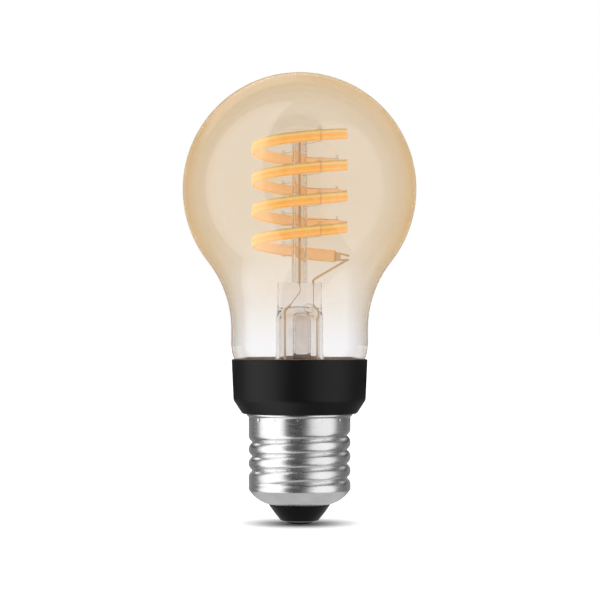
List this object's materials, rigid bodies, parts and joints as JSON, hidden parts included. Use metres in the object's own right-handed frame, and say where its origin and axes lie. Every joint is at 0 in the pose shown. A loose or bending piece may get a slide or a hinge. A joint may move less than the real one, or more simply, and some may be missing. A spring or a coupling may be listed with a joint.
{
  "type": "light bulb",
  "caption": "Clear round filament bulb on a screw cap, with a spiral dual-white light strip on a glass stem, a black collar and a radio-controlled driver inside",
  "frame": {"origin": "bulb axis at the outer face of the centre contact, at the bottom", "axes": "Z is the bulb's axis, from the cap's contact up to the top of the glass; -Y is the front, where the upper end of the light strip lies to the right (+X)"},
  "size_m": [0.061, 0.061, 0.117],
  "materials": {
    "clear_glass": "polished",
    "stem_glass": "polished",
    "cap_metal": "satin",
    "contact_metal": "satin",
    "solder": "gloss",
    "cap_insulation": "gloss",
    "collar_plastic": "matte",
    "cement": "matte",
    "lead_metal": "gloss",
    "spring_wire": "gloss",
    "carrier_film": "satin",
    "cool_phosphor": "satin",
    "warm_phosphor": "satin",
    "led_chip": "gloss",
    "circuit_board": "satin",
    "component_black": "matte",
    "capacitor_sleeve": "gloss",
    "film_capacitor_red": "gloss",
    "ferrite": "matte",
    "copper": "gloss",
    "resistor_coat": "matte",
    "shield_tinplate": "satin",
    "sleeve_film": "gloss",
    "wire_insulation": "satin"
  },
  "bodies": {
    "root": {"antenna_trace": "copper", "bridge_rectifier": "component_black", "cap_insulator": "cap_insulation", "centre_contact": "contact_metal", "chip_resistors": "component_black", "choke_core": "ferrite", "choke_winding": "copper", "collar": "collar_plastic", "contact_solder": "solder", "cool_driver_chip": "component_black", "cool_led_chips": "led_chip", "cool_phosphor_line": "cool_phosphor", "driver_board": "circuit_board", "exhaust_tube": "stem_glass", "filament_carrier": "carrier_film", "filament_support_1": "spring_wire", "filament_support_10": "spring_wire", "filament_support_11": "spring_wire", "filament_support_2": "spring_wire", "filament_support_3": "spring_wire", "filament_support_4": "spring_wire", "filament_support_5": "spring_wire", "filament_support_6": "spring_wire", "filament_support_7": "spring_wire", "filament_support_8": "spring_wire", "filament_support_9": "spring_wire", "film_capacitor": "film_capacitor_red", "filter_capacitor": "capacitor_sleeve", "fusible_resistor": "resistor_coat", "glass_envelope": "clear_glass", "insulating_sleeve": "sleeve_film", "left_lead_barrel": "lead_metal", "left_lead_wire": "lead_metal", "live_wire": "wire_insulation", "lower_terminal": "lead_metal", "module_pins": "lead_metal", "neck_cement": "cement", "neutral_wire": "wire_insulation", "post_conductor": "lead_metal", "radio_chip": "component_black", "radio_module": "circuit_board", "radio_shield": "shield_tinplate", "rear_phosphor": "warm_phosphor", "right_lead_barrel": "lead_metal", "right_lead_wire": "lead_metal", "screw_shell": "cap_metal", "stem_tube": "stem_glass", "support_post": "stem_glass", "upper_terminal": "lead_metal", "warm_driver_chip": "component_black", "warm_led_chips": "led_chip", "warm_phosphor_line": "warm_phosphor"}
  },
  "joints": []
}
